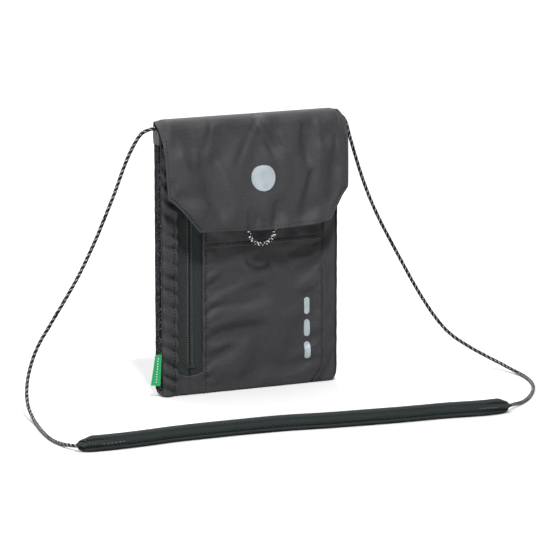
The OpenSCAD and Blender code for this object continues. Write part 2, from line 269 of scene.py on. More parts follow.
def knit_material():
    """Elastic knit binding: near black with a purple cast and pale flecks on crossing diagonals."""
    n = Nodes("binding_knit")
    x, y, z = n.axes()
    rising = n.wave(n.math("MULTIPLY_ADD", y, 0.8, z), 1.5)
    falling = n.wave(n.math("MULTIPLY_ADD", y, -0.9, z), 1.9)
    fleck = n.noise(750, 3.0)
    crossing = n.math("MULTIPLY", n.ramp(rising, 0.45, 0.85), n.ramp(falling, 0.35, 0.8))
    lit = n.math("MULTIPLY", crossing, n.ramp(fleck, 0.49, 0.57))
    color = n.mix(lit, (0.0035, 0.0028, 0.0050, 1), (0.20, 0.185, 0.225, 1))
    height = n.math("ADD", rising, falling)
    return n.finish(color, (fleck, 0.2, 0.72), height, 0.3, 0.9,
                    Specular_IOR_Level=0.06, Sheen_Weight=0.01)


def rib_material(name, color, pale, pitch_mm=0.6):
    """Woven ribbon or webbing with crosswise ribs."""
    n = Nodes(name)
    x, y, z = n.axes()
    ribs = n.wave(z, pitch_mm)
    ends = n.wave(n.math("ADD", x, y), pitch_mm * 1.4)
    grain = n.noise(1700, 2.0)
    tone = n.math("ADD", n.math("MULTIPLY", ribs, 0.45), n.math("MULTIPLY", grain, 0.5))
    mixed = n.mix(n.ramp(tone, 0.2, 1.0), color, pale)
    height = n.math("MULTIPLY_ADD", ends, 0.5, ribs)
    return n.finish(mixed, (grain, 0.15, 0.6), height, 0.08, 0.6,
                    Specular_IOR_Level=0.12, Sheen_Weight=0.02)


def yarn_material(name, color, pale):
    """Braided yarn: fine filaments across each strand."""
    n = Nodes(name)
    fine = n.noise(3200, 2.0)
    soft = n.noise(420, 2.0)
    tone = n.math("ADD", n.math("MULTIPLY", fine, 0.6), n.math("MULTIPLY", soft, 0.4))
    mixed = n.mix(n.ramp(tone, 0.3, 0.7), color, pale)
    return n.finish(mixed, (fine, 0.2, 0.5), fine, 0.05, 0.6,
                    Specular_IOR_Level=0.08, Sheen_Weight=0.01)


def fuzz_material():
    """Touch fastener: a dense black pile."""
    n = Nodes("touch_fastener")
    pile = n.noise(2400, 3.0)
    color = n.mix(n.ramp(pile, 0.35, 0.75), grey(0.006), grey(0.035))
    return n.finish(color, (pile, 0.2, 0.75), pile, 0.5, 1.0, Sheen_Weight=0.04,
                    Specular_IOR_Level=0.08)


def print_material():
    """Silver grey reflective film, slightly crazed."""
    n = Nodes("reflective_print")
    grain = n.noise(1500, 3.0)
    cloud = n.noise(160, 2.0)
    color = n.mix(n.ramp(cloud, 0.3, 0.7), (0.30, 0.34, 0.37, 1), (0.37, 0.415, 0.45, 1))
    return n.finish(color, (grain, 0.2, 0.34), grain, 0.03, 0.4, Metallic=0.15,
                    Specular_IOR_Level=0.5)


def enamel_material():
    """Black enamel on a cast slider, rubbed paler in spots."""
    n = Nodes("slider_enamel")
    wear = n.noise(900, 4.0)
    color = n.mix(n.ramp(wear, 0.55, 0.75), grey(0.012), grey(0.05))
    return n.finish(color, (wear, 0.25, 0.22), wear, 0.03, 0.3, Metallic=0.6, Coat_Weight=0.3)


COOL = (0.99, 0.985, 1.06)
SHELL = shell_material("shell_nylon", 0.027, COOL)
BACK = shell_material("back_nylon", 0.020, COOL, weave_mm=0.7, roughness=0.7)
LINING = shell_material("lining_nylon", 0.11, (1.0, 1.02, 1.04), weave_mm=0.6, roughness=0.6)
TAPE = twill_material("zip_twill", 0.004, 0.062, (0.84, 1.0, 0.99), pitch_mm=1.3)
SLEEVE = twill_material("sleeve_twill", 0.002, 0.060, (0.80, 1.0, 0.98), pitch_mm=1.7)
KNIT = knit_material()
TAB = rib_material("tab_webbing", grey(0.05, (1, 0.96, 1.03)), grey(0.105, (1, 0.96, 1.03)))
TAG = rib_material("tag_ribbon", (0.018, 0.25, 0.08, 1), (0.035, 0.38, 0.14, 1), pitch_mm=0.5)
TAG_THREAD = rib_material("tag_thread", (0.5, 0.66, 0.56, 1), (0.75, 0.85, 0.79, 1), pitch_mm=0.5)
YARN_DARK = yarn_material("yarn_black", grey(0.003), grey(0.012))
YARN_PALE = yarn_material("yarn_pale", grey(0.34), grey(0.72))
THREAD = yarn_material("thread_dark", grey(0.002), grey(0.008))
THREAD_PALE = yarn_material("thread_pale", grey(0.08, (0.9, 1, 0.97)), grey(0.18, (0.9, 1, 0.97)))
FUZZ = fuzz_material()
PRINT = print_material()
ENAMEL = enamel_material()


# ---- Mesh helpers ----

# Width of a sheet's rolled edge
LIP = 1.2


def add_piece(name, points, faces, materials, face_materials=None, crease=48):
    """A mesh object from points in millimetres, smooth but for its sharp edges."""
    mesh = bpy.data.meshes.new(name)
    mesh.from_pydata([Vector(p) * MM for p in points], [], faces)
    for material in materials:
        mesh.materials.append(material)
    if face_materials is not None:
        mesh.polygons.foreach_set("material_index", face_materials)
    mesh.shade_smooth()
    mesh.set_sharp_from_angle(angle=math.radians(crease))
    mesh.update()
    piece = bpy.data.objects.new(name, mesh)
    bpy.context.collection.objects.link(piece)
    return piece


def settle(piece, slot, body, *nodes):
    """Hides the CAD nodes that a piece stands for and attaches the piece to its body. The slot is
    not used.
    """
    if nodes:
        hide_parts(*nodes)
    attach(piece, body)


def steps(low, high, pitch, lip=LIP):
    """Grid lines from low to high, closer together near both ends for a rolled edge."""
    inner = max(1, round((high - low - 2 * lip) / pitch))
    start = [low + lip * f for f in (0, 0.12, 0.35, 0.65)]
    middle = [low + lip + (high - low - 2 * lip) * i / inner for i in range(inner + 1)]
    end = [high - lip * f for f in (0.65, 0.35, 0.12, 0)]
    return start + middle + end


def across(low, high, pitch, width, lip=LIP):
    """The same count of grid lines as a sheet of the given width, fitted between low and high."""
    lines = steps(0.0, width, pitch, lip)
    inner = width - 2 * lip
    fitted = []
    for at in lines:
        if at <= lip:
            fitted.append(low + at)
        elif at >= width - lip:
            fitted.append(high - (width - at))
        else:
            fitted.append(low + lip + (high - low - 2 * lip) * (at - lip) / inner)
    return fitted


def roll(distance, depth, lip=LIP):
    """How far a sheet drops at a distance from its rolled edge."""
    if distance >= lip:
        return 0.0
    return depth * (1 - math.sqrt(max(0.0, 1 - (1 - distance / lip) ** 2)))


def grid_normal(rows, i, j):
    """Unit normal of a grid of points at row i, column j."""
    last_i, last_j = len(rows) - 1, len(rows[0]) - 1
    down = rows[min(i + 1, last_i)][j] - rows[max(i - 1, 0)][j]
    across = rows[i][min(j + 1, last_j)] - rows[i][max(j - 1, 0)]
    return down.cross(across).normalized()


def sheet_piece(name, rows, thickness, material, flip=False, inward=None):
    """A closed sheet: the rows are its outer face, and its inner face is thickness further in."""
    height, width = len(rows), len(rows[0])
    sign = -1 if flip else 1
    outer = [p for row in rows for p in row]
    inner = []
    for i in range(height):
        for j in range(width):
            step = inward if inward is not None else -grid_normal(rows, i, j) * sign
            inner.append(rows[i][j] + step * thickness)
    count = len(outer)
    faces = []
    for i in range(height - 1):
        for j in range(width - 1):
            a, b = i * width + j, i * width + j + 1
            c, d = (i + 1) * width + j + 1, (i + 1) * width + j
            faces.append((a, d, c, b))
            faces.append((count + a, count + b, count + c, count + d))
    rim = list(range(width))
    rim += [i * width + width - 1 for i in range(1, height)]
    rim += [(height - 1) * width + j for j in range(width - 2, -1, -1)]
    rim += [i * width for i in range(height - 2, 0, -1)]
    for k, a in enumerate(rim):
        b = rim[(k + 1) % len(rim)]
        faces.append((a, b, count + b, count + a))
    middle = rows[height // 2][width // 2]
    core = middle.lerp(inner[(height // 2) * width + width // 2], 0.5)
    out = middle - core
    if grid_normal(rows, height // 2, width // 2).dot(out) < 0:
        faces = [tuple(reversed(f)) for f in faces]
    return add_piece(name, outer + inner, faces, [material])


def spline(route, per_span):
    """A smooth line of points through a route."""
    points = [Vector(p) for p in route]
    last = len(points) - 1
    line = []
    for i in range(last):
        a, b = points[max(i - 1, 0)], points[i]
        c, d = points[i + 1], points[min(i + 2, last)]
        for k in range(per_span):
            u = k / per_span
            line.append(0.5 * (2 * b + (c - a) * u + (2 * a - 5 * b + 4 * c - d) * u ** 2
                               + (3 * b - a - 3 * c + d) * u ** 3))
    line.append(points[last])
    return line


def length_of(line):
    return sum((b - a).length for a, b in zip(line, line[1:]))


def even(line, pitch):
    """The same line with its points a fixed distance apart."""
    total = length_of(line)
    count = max(2, round(total / pitch))
    spaced, walked, k = [line[0]], 0.0, 0
    for i in range(1, count):
        want = total * i / count
        while walked + (line[k + 1] - line[k]).length < want:
            walked += (line[k + 1] - line[k]).length
            k += 1
        span = (line[k + 1] - line[k]).length
        spaced.append(line[k].lerp(line[k + 1], (want - walked) / span))
    return spaced + [line[-1]]


def frames(line, first_side):
    """At each point: the direction and two cross directions, carried along with no twist."""
    side = Vector(first_side)
    found = []
    for i in range(len(line)):
        t = (line[min(i + 1, len(line) - 1)] - line[max(i - 1, 0)]).normalized()
        side = (side - t * side.dot(t)).normalized()
        found.append((t, side, t.cross(side)))
    return found


def tube_faces(rings, sides):
    faces = []
    for i in range(rings - 1):
        for k in range(sides):
            n = (k + 1) % sides
            faces.append((i * sides + k, i * sides + n, (i + 1) * sides + n, (i + 1) * sides + k))
    faces.append(tuple(range(sides - 1, -1, -1)))
    faces.append(tuple((rings - 1) * sides + k for k in range(sides)))
    return faces


def braid(name, line, diameter, pale_share, lay_share):
    """A braided cord: two sets of helical strands that cross, with pale strands in one set."""
    sides, strands, lay, pitch = 16, 8, diameter * lay_share, diameter * 0.19
    line = even(line, pitch)
    turned = frames(line, (0, 1, 0))
    points, walked = [], 0.0
    radius = diameter / 2
    for i, centre in enumerate(line):
        walked += (centre - line[i - 1]).length if i else 0.0
        turn = walked / lay
        for k in range(sides):
            angle = 2 * math.pi * k / sides
            right = math.cos(strands * (angle - 2 * math.pi * turn))
            left = math.cos(strands * (angle + 2 * math.pi * turn))
            r = radius * (0.93 + 0.07 * max(right, left))
            out = turned[i][1] * math.cos(angle) + turned[i][2] * math.sin(angle)
            points.append(centre + out * r)
    faces = tube_faces(len(line), sides)
    colours = []
    for i in range(len(line) - 1):
        turn = (i + 0.5) * pitch / lay
        for k in range(sides):
            angle = (k + 0.5) / sides
            right = int(math.floor((angle - turn) * strands)) % strands
            left = int(math.floor((angle + turn) * strands)) % strands
            over = (right + left) % 2 == 0
            pale = over and right % 4 < 4 * pale_share
            colours.append(1 if pale else 0)
    colours += [0, 0]
    return add_piece(name, points, faces, [YARN_DARK, YARN_PALE], colours, crease=80)


def stitches(name, line, body, out, material, length=1.5, space=0.9, radius=0.42, sink=0.12):
    """A row of stitches along a line; out gives the outward direction at a point."""
    line = even(line, 0.5)
    total = length_of(line)
    per_mm = (len(line) - 1) / total
    points, faces, at = [], [], space / 2
    sides, bows = 6, 5
    while at + length < total:
        start = len(points)
        spots = []
        for i in range(bows):
            where = (at + length * i / (bows - 1)) * per_mm
            k = min(int(where), len(line) - 2)
            spots.append(line[k].lerp(line[k + 1], where - k))
        t = (spots[-1] - spots[0]).normalized()
        for i, spot in enumerate(spots):
            normal = out(spot)
            rise = math.sin(math.pi * i / (bows - 1))
            thick = radius * (0.45 + 0.55 * rise)
            centre = spot + normal * (rise * radius * 0.9 - sink)
            across = t.cross(normal).normalized()
            for k in range(sides):
                angle = 2 * math.pi * k / sides
                aside = across * math.cos(angle) + normal * math.sin(angle)
                points.append(centre + aside * thick)
        for face in tube_faces(bows, sides):
            faces.append(tuple(start + v for v in face))
        at += length + space
    piece = add_piece(name, points, faces, [material], crease=80)
    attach(piece, body)
    return piece


def ripple(x, y, z):
    """Smooth noise from about -1 to 1."""
    return noise.noise(Vector((x, y, z)))


def bump(value, middle, width):
    return math.exp(-((value - middle) / width) ** 2)


def ease(value):
    """A smooth step from 0 to 1."""
    held = min(1.0, max(0.0, value))
    return held * held * (3 - 2 * held)


def between(value, table):
    """Straight-line value from a rising list of (at, value) pairs."""
    if value <= table[0][0]:
        return table[0][1]
    for (a, va), (b, vb) in zip(table, table[1:]):
        if value <= b:
            return va + (vb - va) * (value - a) / (b - a)
    return table[-1][1]


# ---- Neck cord and sleeve ----

cord_line = spline(CORD_ROUTE, 8)
neck_cord = braid("neck_cord_braid", cord_line, CORD_D, pale_share=0.25, lay_share=2.9)
settle(neck_cord, "cord_braid", "pouch", "neck_cord")


def make_sleeve():
    """A flat woven tube folded along its lower edge, its ends gathered on the cord."""
    line = even(spline([(-169.5, -118.5, 4.0)] + SLEEVE_ROUTE + [(130, -135.5, 4.0)], 8),
                SLEEVE_PITCH)
    turned = frames(line, (0, 1, 0))
    sides = 36
    total = len(line) - 1
    points = []
    for i, centre in enumerate(line):
        from_end = min(i, total - i) * SLEEVE_PITCH
        open_up = 0.34 + 0.66 * math.sqrt(min(1.0, from_end / 9))
        gather = max(0.0, 1 - from_end / 14)
        tuck = 1 - ease((from_end - 12) / 12)
        t = turned[i][0]
        out = Vector((t.y, -t.x, 0)).normalized()
        if out.y > 0:
            out = -out
        sway = 0.35 * ripple(i * 0.06, 4, 1) * (1 - gather)
        for k in range(sides):
            angle = 2 * math.pi * k / sides
            c, s = math.cos(angle), math.sin(angle)
            up = SLEEVE_H / 2 * math.copysign(abs(s) ** 0.8, s) * open_up
            thick = SLEEVE_T / 2 * math.copysign(abs(c) ** 0.9, c) * (0.55 + 0.45 * open_up)
            front = max(0.0, c)
            thick += front * 0.8 * bump(up, -SLEEVE_H * 0.36, 0.9)
            thick -= front * 0.9 * bump(up, -SLEEVE_H * 0.22, 0.7)
            thick += front * 0.5 * bump(up, SLEEVE_H * 0.38, 0.8)
            thick -= front * 0.5 * bump(up, SLEEVE_H * 0.25, 0.7)
            pleat = 1.1 * bump(up, 0.4, 0.9) - 1.2 * bump(up, -1.2, 0.7) - 0.9 * bump(up, 2.0, 0.7)
            thick += tuck * front * pleat
            thick += 0.25 * ripple(i * 0.05, up * 0.2, 9)
            low = centre.z - SLEEVE_H / 2 * open_up
            lift = max(0.0, 0.15 - low)
            points.append(Vector((centre.x, centre.y, 0)) + out * (thick + sway)
                          + Vector((0, 0, max(0.06, centre.z + up + lift))))
    piece = add_piece("neck_sleeve_woven", points, tube_faces(len(line), sides), [SLEEVE],
                      crease=70)
    settle(piece, "sleeve_weave", "pouch", "neck_sleeve")
    return piece, line


neck_sleeve, sleeve_line = make_sleeve()


def sleeve_stitches():
    def face(spot):
        return Vector((0, -1, 0.1)).normalized()

    for name, low, high in (("sleeve_stitch_left", -158, -138), ("sleeve_stitch_right", 104, 120)):
        row = [p + Vector((0, -SLEEVE_T / 2 - 1.2, 0.4)) for p in sleeve_line if low < p.x < high]
        stitches(name, row, "pouch", face, THREAD_PALE,
                 length=1.8, space=1.0, radius=0.24, sink=0.0)


sleeve_stitches()


# ---- Wrinkles from cloth simulation ----

SIM_SCALE = 0.01
SIM_PITCH = 2.0
SIM_FRAMES = 30
# Reach, in grid cells, of the average that removes broad bulges
BROAD_CELLS = 5


def smeared(grid, reach):
    """Each cell of a grid averaged with its neighbours, along the rows and then the columns."""
    for _ in range(2):
        turned = []
        for row in grid:
            total = [0.0]
            for value in row:
                total.append(total[-1] + value)
            ends = [(max(j - reach, 0), min(j + reach + 1, len(row))) for j in range(len(row))]
            turned.append([(total[b] - total[a]) / (b - a) for a, b in ends])
        grid = [list(column) for column in zip(*turned)]
    return grid


def crumple(low, high, grow, seed, sewn):
    """Wrinkles of a flat panel that is sewn down in places and a little too large.

    The cloth is simulated ten times as large as it is. The result gives the height in mm at
    any (x, z).
    """
    columns = round((high[0] - low[0]) / SIM_PITCH)
    rows = round((high[1] - low[1]) / SIM_PITCH)
    points, faces, held = [], [], []
    for i in range(rows + 1):
        for j in range(columns + 1):
            x = low[0] + (high[0] - low[0]) * j / columns
            z = low[1] + (high[1] - low[1]) * i / rows
            fixed = i in (0, rows) or j in (0, columns) or sewn(x, z)
            if fixed:
                held.append(len(points))
            start = 0.0 if fixed else 0.6 * ripple(x / 14, z / 14, seed)
            points.append(Vector((x, start, z)) * SIM_SCALE)
    for i in range(rows):
        for j in range(columns):
            a = i * (columns + 1) + j
            faces.append((a, a + 1, a + columns + 2, a + columns + 1))
    mesh = bpy.data.meshes.new("cloth_sim")
    mesh.from_pydata(points, [], faces)
    cloth = bpy.data.objects.new("cloth_sim", mesh)
    bpy.context.collection.objects.link(cloth)
    cloth.vertex_groups.new(name="sewn").add(held, 1.0, "REPLACE")
    modifier = cloth.modifiers.new("cloth", "CLOTH")
    settings = modifier.settings
    settings.quality = 6
    settings.mass = 0.3
    settings.bending_model = "ANGULAR"
    settings.tension_stiffness = settings.compression_stiffness = 20
    settings.shear_stiffness = 8
    settings.bending_stiffness = 12
    settings.tension_damping = settings.compression_damping = settings.shear_damping = 5
    settings.bending_damping = 1
    settings.air_damping = 2
    settings.shrink_min = -grow
    settings.vertex_group_mass = "sewn"
    settings.effector_weights.gravity = 0
    modifier.collision_settings.use_collision = False
    modifier.point_cache.frame_start = 1
    modifier.point_cache.frame_end = SIM_FRAMES
    for frame_number in range(1, SIM_FRAMES + 1):
        bpy.context.scene.frame_set(frame_number)
    settled = cloth.evaluated_get(bpy.context.evaluated_depsgraph_get()).to_mesh()
    heights = [-v.co.y / SIM_SCALE for v in settled.vertices]
    bpy.data.objects.remove(cloth)
    bpy.context.scene.frame_set(1)
    grid = [heights[i * (columns + 1):(i + 1) * (columns + 1)] for i in range(rows + 1)]
    for _ in range(2):
        grid = [[(4 * grid[i][j] + grid[max(i - 1, 0)][j] + grid[min(i + 1, rows)][j]
                  + grid[i][max(j - 1, 0)] + grid[i][min(j + 1, columns)]) / 8
                 for j in range(columns + 1)] for i in range(rows + 1)]

    broad = smeared(smeared(grid, BROAD_CELLS), BROAD_CELLS)
    grid = [[near - wide for near, wide in zip(*pair)] for pair in zip(grid, broad)]

    def height(x, z):
        u = min(max((x - low[0]) / (high[0] - low[0]), 0.0), 1.0) * columns
        v = min(max((z - low[1]) / (high[1] - low[1]), 0.0), 1.0) * rows
        j, i = min(int(u), columns - 1), min(int(v), rows - 1)
        u, v = u - j, v - i
        u, v = u * u * (3 - 2 * u), v * v * (3 - 2 * v)
        lower = grid[i][j] * (1 - u) + grid[i][j + 1] * u
        upper = grid[i + 1][j] * (1 - u) + grid[i + 1][j + 1] * u
        return lower * (1 - v) + upper * v

    return height


def front_sewn(x, z):
    """Where the front is held: over the zip, and along the right seam and the upper band's lap."""
    on_zip = STITCH_LEFT <= x <= STITCH_RIGHT
    on_seam = abs(x - RIGHT_SEAM - 1.2) < 1.1
    on_lap = abs(z - STITCH_LAP) < 1.1 and TAPE_RIGHT < x < RIGHT_SEAM
    return on_zip or on_seam or on_lap


def no_seam(x, z):
    return False


FRONT_WRINKLES = crumple((-HALF_W, 0), (HALF_W, BODY_TOP), 0.030, 3.3, front_sewn)
BACK_WRINKLES = crumple((-HALF_W, 0), (HALF_W, BODY_TOP), 0.010, 8.1, no_seam)
FLAP_WRINKLES = crumple((FLAP_LOW.x, FLAP_LOW.z), (FLAP_HIGH.x, FLAP_HIGH.z), 0.020, 4.4, no_seam)


# ---- Pouch body ----

# How far a fold may sink or rise, and how far forward the tapes lie under the slider
DEEPEST_FOLD = 1.7
HIGHEST_FOLD = 3.0
SLIDER_PATH_Y = 4.9
# The shell cloth's thickness, and the grid pitch of the front panels
SHELL_T = 0.7
FRONT_PITCH = 1.3
# How far the lapped panels stand forward of the lowest one
PANEL_LIFT = 0.25
YOKE_LIFT = 0.85


def crease_line(x, z, start, end, width, depth):
    """A crease between two (x, z) points, wider and softer away from its start."""
    dx, dz = end[0] - start[0], end[1] - start[1]
    length = math.hypot(dx, dz)
    along = ((x - start[0]) * dx + (z - start[1]) * dz) / length ** 2
    across_by = ((x - start[0]) * dz - (z - start[1]) * dx) / length
    fade = ease(along * 8 + 0.5) * ease((1 - along) * 2)
    return depth * fade * bump(across_by, 0, width * (0.5 + max(0.0, along)))


# Valleys and ridges of the pocket panel, which mostly rise to the right
POCKET_CREASES = [
    ((52, 99), (0, 86), 3.4, -2.0), ((54, 93), (18, 76), 3.2, 1.8),
    ((53, 85), (30, 73), 2.6, -1.8), ((-33, 80), (-5, 92), 3.4, 1.5),
    ((-34, 70), (-10, 82), 3.2, -1.8), ((-34, 63), (30, 84), 4.2, 1.8),
    ((-34, 59), (30, 62), 4.2, -2.0), ((-34, 45), (24, 60), 4.6, 1.7),
    ((-34, 36), (34, 48), 4.6, -1.9), ((-34, 28), (-6, 39), 2.8, 1.3),
    ((-34, 22), (-8, 31), 2.8, -1.5), ((52, 28), (16, 14), 4.4, 1.6),
    ((52, 18), (10, 6), 4.0, -1.4), ((53, 70), (24, 52), 3.4, -1.3),
]


def bag_front(x, z):
    """How far the soft front stands forward of the pouch's middle plane."""
    swell = 1.5 * (1 - abs(x / HALF_W) ** 3) * (1 - abs((z - 88) / 98) ** 4)
    along, across_by = x * 0.8 + z * 0.6, x * 0.6 - z * 0.8
    fold = 1.5 * ripple(along / 60, across_by / 20, 3.1) + 1.2 * FRONT_WRINKLES(x, z)
    if TAPE_RIGHT < x < RIGHT_SEAM + 2:
        held = ease((x - TAPE_RIGHT - 1) / 4) * ease((RIGHT_SEAM + 1 - x) / 3)
        fold += held * sum(crease_line(x, z, *crease) for crease in POCKET_CREASES)
    limit = DEEPEST_FOLD if fold < 0 else HIGHEST_FOLD
    fold = limit * math.tanh(fold / limit)
    calm = ease((HALF_W - abs(x)) / 14) * ease(z / 16) * ease((BODY_TOP - 5 - z) / 16)
    calm *= 1 - 0.7 * bump(x, ZIP_X, 9)
    wrap = 1.9 * ease((abs(x) - HALF_W + 2.6) / 3.4)
    return FRONT_Y - 0.2 + max(0.0, swell) + fold * calm - wrap


def bag_back(x, z):
    swell = 1.0 * (1 - abs(x / HALF_W) ** 3) * (1 - abs((z - 90) / 98) ** 4)
    fold = 0.9 * BACK_WRINKLES(x, z) + 0.8 * ripple(x / 45, z / 26, 5.5)
    fold *= ease((BACK_TOP - 11 - z) / 16)
    return BACK_Y - 0.2 + max(0.0, swell) + fold


def side_limit(z, corner):
    """Half width of the pouch's front at a height, inside its rounded lower corner."""
    if z >= corner:
        return HALF_W + 0.5
    return HALF_W + 0.5 - corner + math.sqrt(max(0.0, corner ** 2 - (corner - z) ** 2))


def right_seam(z):
    """Seam between pocket panel and right strip, curving in at the bottom."""
    return RIGHT_SEAM + 1.2 - 9.5 * max(0.0, 1 - z / 15) ** 2.2


def front_point(x, z, lift):
    return Vector((x, -(bag_front(x, z) + lift), z))


def front_normal(spot):
    e = 0.6
    dx = (bag_front(spot.x + e, spot.z) - bag_front(spot.x - e, spot.z)) / (2 * e)
    dz = (bag_front(spot.x, spot.z + e) - bag_front(spot.x, spot.z - e)) / (2 * e)
    return Vector((-dx, -1, -dz)).normalized()


def front_piece(name, node, left, right, low, high, lift, relief, material=SHELL, edge=0.6,
                top=None, slot="shell_fabric"):
    """A front panel between two side lines and two heights, with rolled edges."""
    rows = []
    tall = high - low
    width = right((low + high) / 2) - left((low + high) / 2)
    for v in steps(0.0, 1.0, FRONT_PITCH / tall, LIP / tall):
        row = []
        middle_z = low + tall * v
        x0, x1 = left(middle_z), right(middle_z)
        for x in across(x0, x1, FRONT_PITCH, width):
            z = middle_z if top is None else low + (top(x) - low) * v
            inside = min(x - x0, x1 - x, v * tall, (1 - v) * tall)
            row.append(front_point(x, z, lift + relief(x, z) - roll(inside, edge)))
        rows.append(row)
    piece = sheet_piece(name, rows, SHELL_T, material, inward=BACKWARD)
    settle(piece, slot, "pouch", node)


def seam_pucker(across, along, pull, wave):
    """A stitched groove with small puckers that die away from it."""
    groove = -pull * bump(across, 0, 0.7)
    turn = 2 * math.pi * along / wave + 2 * ripple(along / 9, across / 9, 2)
    pucker = 0.22 * bump(across, 0, 5.0) * math.sin(turn)
    return groove + pucker


def corner_top(x):
    """Top of the front near its upper corners, under the flap's sloping ends."""
    return BODY_TOP - 17 * ease((abs(x) - HALF_W + 9) / 9)


def gathers(along, pitch, seed, lean=0.7):
    """Bulges that hang lowest on their undersides, unevenly spaced, from about -0.6 to 0.4."""
    turn = (along + 1.8 * ripple(along / 13, 0.5, seed)) / pitch
    size = 0.9 + 0.35 * ripple(along / 17, 4.5, seed)
    return size * (math.sin(math.pi * (turn % 1.0) ** lean) - 0.6)


def left_strip_relief(x, z):
    near_zip = 0.35 + 0.65 * ease((x + HALF_W) / 4)
    wave = gathers(z + 0.6 * (x - TAPE_LEFT), 10.0, 1.7, lean=1.15) * near_zip
    ridge = 0.25 * bump(x, TAPE_LEFT + 0.1, 0.7)
    return 3.2 * wave + 0.3 + ridge + seam_pucker(x - STITCH_LEFT, z, 0.5, 7.0)


def pocket_relief(x, z):
    left_seam = seam_pucker(x - STITCH_RIGHT, z, 0.4, 6.5)
    right = seam_pucker(right_seam(z) - x - 0.6, z, 0.1, 9.0)
    tucked = -0.5 * ease((z - LAP_Z + 5) / 5)
    near_zip = bump(x, TAPE_RIGHT + 3, 7) * ease(z / 12)
    pulled = 1.1 * gathers(z - 0.6 * (x - TAPE_RIGHT), 9.0, 5.2) * near_zip
    return left_seam + right + tucked + pulled + 0.2 * bump(x, TAPE_RIGHT + 0.5, 0.7)


def yoke_relief(x, z):
    side = seam_pucker(x - STITCH_RIGHT, z, 0.4, 6.5)
    return seam_pucker(z - STITCH_LAP, x, 0.4, 7.5) + side + 0.35 * bump(z, LAP_Z + 0.8, 0.9)


def right_relief(x, z):
    tuck = -1.3 * bump(x, right_seam(z) + 0.4, 0.9) + 0.4 * bump(x, right_seam(z) + 2.6, 1.2)
    slanted = ripple((x * 0.5 + z * 0.87) / 40, (x * 0.87 - z * 0.5) / 7, 6.0)
    return tuck + 2.0 * slanted * ease((HALF_W - x) / 5)


def tape_relief(x, z):
    """Keeps the tape flat under the slider's path, over the ridge of the hidden coil."""
    off = abs(x - ZIP_X)
    return SLIDER_PATH_Y - bag_front(x, z) + 0.4 * bump(off, 1.1, 1.5) - 0.12 * bump(off, 4.6, 0.7)


def patch_top(x):
    return 13.4 + 1.9 * ((x - ZIP_X) / (TAPE_RIGHT - ZIP_X)) ** 2


def make_front():
    floor_gap = 0.5
    front_piece("front_left_strip_cloth", "front_left_strip",
                lambda z: -side_limit(z, CORNER_LEFT), lambda z: TAPE_LEFT + 0.4,
                floor_gap, BODY_TOP, PANEL_LIFT, left_strip_relief, top=corner_top)
    front_piece("zip_tape_left_twill", "zip_tape_left",
                lambda z: TAPE_LEFT - 0.6, lambda z: ZIP_X - 0.22,
                8, BODY_TOP - 5, 0.0, tape_relief, TAPE, slot="zip_tape")
    front_piece("zip_tape_right_twill", "zip_tape_right",
                lambda z: ZIP_X + 0.22, lambda z: TAPE_RIGHT + 0.6,
                8, BODY_TOP - 5, 0.0, tape_relief, TAPE, slot="zip_tape")
    front_piece("zip_end_patch_cloth", "zip_end_patch",
                lambda z: TAPE_LEFT - 0.2, lambda z: TAPE_RIGHT + 0.2,
                floor_gap, 15, 0.3, lambda x, z: 0.3 * bump(z, patch_top(x) - 0.8, 0.9)
                + 0.25 * math.sin(x * 0.9) * bump(z, 5, 5), top=patch_top)
    front_piece("front_pocket_panel_cloth", "front_pocket_panel",
                lambda z: TAPE_RIGHT - 0.4, lambda z: right_seam(z) + 0.3,
                floor_gap, LAP_Z + 3, PANEL_LIFT, pocket_relief)
    front_piece("front_yoke_cloth", "front_yoke",
                lambda z: TAPE_RIGHT - 0.4, lambda z: RIGHT_SEAM + 1.5,
                LAP_Z, BODY_TOP, YOKE_LIFT, yoke_relief, edge=0.5)
    front_piece("front_right_strip_cloth", "front_right_strip",
                lambda z: right_seam(z) - 0.4, lambda z: side_limit(z, CORNER_RIGHT),
                floor_gap, BODY_TOP, 0.0, right_relief, top=corner_top)


def make_back():
    rows = []
    for z in steps(0.5, BACK_TOP - 1.5, 2.0):
        left, right = -side_limit(z, CORNER_LEFT) + 0.6, side_limit(z, CORNER_RIGHT) - 0.6
        row = []
        for x in across(left, right, 2.2, 2 * HALF_W):
            drop = roll(min(x - left, right - x), 0.5)
            pull = -0.35 * bump(min(x - left, right - x), 3.2, 0.8)
            row.append(Vector((x, bag_back(x, z) + pull - drop, z)))
        rows.append(row)
    piece = sheet_piece("back_panel_cloth", rows, 0.8, BACK, flip=True, inward=FORWARD)
    settle(piece, "back_fabric", "pouch", "back_panel")


# Grid steps of the gusset up each side and along the base
SIDE_STEPS = 74
BASE_STEPS = 60


def outline_path():
    """The gusset's line: down the left side, along the base and up the right side, as (x, z)."""
    def quarter(centre_x, radius, first, count):
        angles = [math.radians(first + 90 * i / count) for i in range(count + 1)]
        return [(centre_x + radius * math.cos(a), radius + radius * math.sin(a)) for a in angles]

    start, end = -HALF_W + CORNER_LEFT, HALF_W - CORNER_RIGHT
    left, right = BODY_TOP - CORNER_LEFT, BODY_TOP - CORNER_RIGHT
    path = [(-HALF_W, BODY_TOP - left * i / SIDE_STEPS) for i in range(SIDE_STEPS)]
    path += quarter(start, CORNER_LEFT, 180, 8)
    path += [(start + (end - start) * i / BASE_STEPS, 0) for i in range(1, BASE_STEPS)]
    path += quarter(end, CORNER_RIGHT, 270, 12)
    path += [(HALF_W, CORNER_RIGHT + right * i / SIDE_STEPS) for i in range(1, SIDE_STEPS + 1)]
    return path


